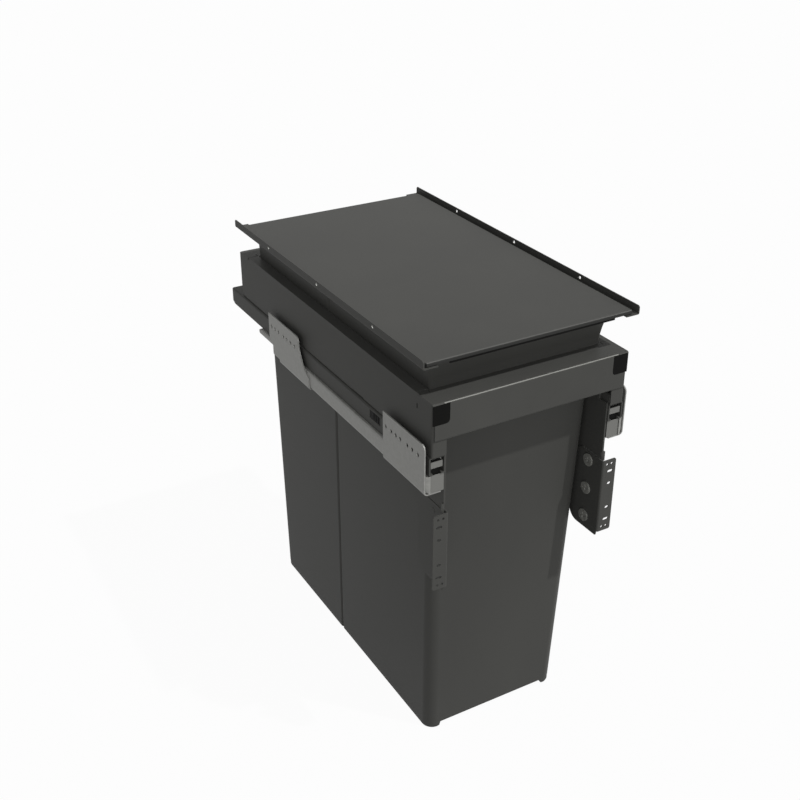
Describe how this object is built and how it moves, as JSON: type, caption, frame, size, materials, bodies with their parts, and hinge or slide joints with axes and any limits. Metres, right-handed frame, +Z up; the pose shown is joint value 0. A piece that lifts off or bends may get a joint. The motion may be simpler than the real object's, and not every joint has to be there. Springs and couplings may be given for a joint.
{
  "type": "pull-out waste bin unit",
  "caption": "Pull-out waste bin unit for a narrow base cabinet: tandem bins hung in a folded steel drawer frame on telescopic runners, a fixed lid plate and adjustable front brackets",
  "frame": {"origin": "under the middle of the whole unit, at the height of the bins' skids", "axes": "-Y towards the user (drawer front), +Z up, X across the cabinet"},
  "size_m": [0.264, 0.5084, 0.5275],
  "materials": {
    "dark_steel": "satin powder coat, anthracite",
    "zinc_steel": "dull galvanised sheet",
    "cast_zinc": "die-cast zinc",
    "screw_steel": "dark passivated screw",
    "grey_plastic": "moulded plastic, light grey",
    "white_plastic": "moulded plastic, off-white",
    "black_plastic": "moulded plastic, black",
    "grey_plastic_bin": "moulded plastic, dark grey, fine texture"
  },
  "bodies": {
    "cabinet_fixings": {"lid_plate": "dark_steel", "lid_rail_left": "dark_steel", "lid_rail_right": "dark_steel", "cabinet_rail_left": "zinc_steel", "cabinet_rail_right": "zinc_steel", "rail_end_block_left": "cast_zinc", "rail_end_block_right": "cast_zinc", "front_fixing_plate_left": "zinc_steel", "front_fixing_plate_right": "zinc_steel", "rear_fixing_plate_left": "zinc_steel", "rear_fixing_plate_right": "zinc_steel", "fixing_plate_rivets": "zinc_steel"},
    "middle_left": {"middle_slide_left": "zinc_steel", "slide_nose_left": "grey_plastic"},
    "middle_right": {"middle_slide_right": "zinc_steel", "slide_nose_right": "grey_plastic"},
    "upper_cage_left": {"upper_ball_cage_left": "white_plastic"},
    "upper_cage_right": {"upper_ball_cage_right": "white_plastic"},
    "lower_cage_left": {"lower_ball_cage_left": "white_plastic"},
    "lower_cage_right": {"lower_ball_cage_right": "white_plastic"},
    "drawer": {"drawer_slide_left": "dark_steel", "drawer_slide_right": "dark_steel", "slide_catch_left": "black_plastic", "slide_catch_right": "black_plastic", "frame_side_left": "dark_steel", "frame_side_right": "dark_steel", "front_bar": "dark_steel", "rear_wall": "dark_steel", "corner_insert_left": "black_plastic", "corner_insert_right": "black_plastic", "bracket_arm_left": "dark_steel", "bracket_arm_right": "dark_steel", "front_bracket_left": "dark_steel", "front_bracket_right": "dark_steel", "bracket_screws": "screw_steel", "arm_rivets": "dark_steel", "front_bin": "grey_plastic_bin", "rear_bin": "grey_plastic_bin"}
  },
  "joints": [
    {"name": "drawer_pull_out", "type": "slide", "parent": "cabinet_fixings", "child": "drawer", "axis": [0, -1, 0], "range_m": [0, 0.45]},
    {"name": "middle_slide_left_travel", "type": "slide", "parent": "cabinet_fixings", "child": "middle_left", "axis": [0, -1, 0], "range_m": [0, 0.226]},
    {"name": "middle_slide_right_travel", "type": "slide", "parent": "cabinet_fixings", "child": "middle_right", "axis": [0, -1, 0], "range_m": [0, 0.226]},
    {"name": "upper_cage_left_travel", "type": "slide", "parent": "cabinet_fixings", "child": "upper_cage_left", "axis": [0, -1, 0], "range_m": [0, 0.339]},
    {"name": "upper_cage_right_travel", "type": "slide", "parent": "cabinet_fixings", "child": "upper_cage_right", "axis": [0, -1, 0], "range_m": [0, 0.339]},
    {"name": "lower_cage_left_travel", "type": "slide", "parent": "cabinet_fixings", "child": "lower_cage_left", "axis": [0, -1, 0], "range_m": [0, 0.114]},
    {"name": "lower_cage_right_travel", "type": "slide", "parent": "cabinet_fixings", "child": "lower_cage_right", "axis": [0, -1, 0], "range_m": [0, 0.114]}
  ],
  "couplings": [
    {"joint": "middle_slide_left_travel", "follows": "drawer_pull_out", "ratio": 0.5},
    {"joint": "middle_slide_right_travel", "follows": "drawer_pull_out", "ratio": 0.5},
    {"joint": "upper_cage_left_travel", "follows": "drawer_pull_out", "ratio": 0.75},
    {"joint": "upper_cage_right_travel", "follows": "drawer_pull_out", "ratio": 0.75},
    {"joint": "lower_cage_left_travel", "follows": "drawer_pull_out", "ratio": 0.25},
    {"joint": "lower_cage_right_travel", "follows": "drawer_pull_out", "ratio": 0.25}
  ]
}
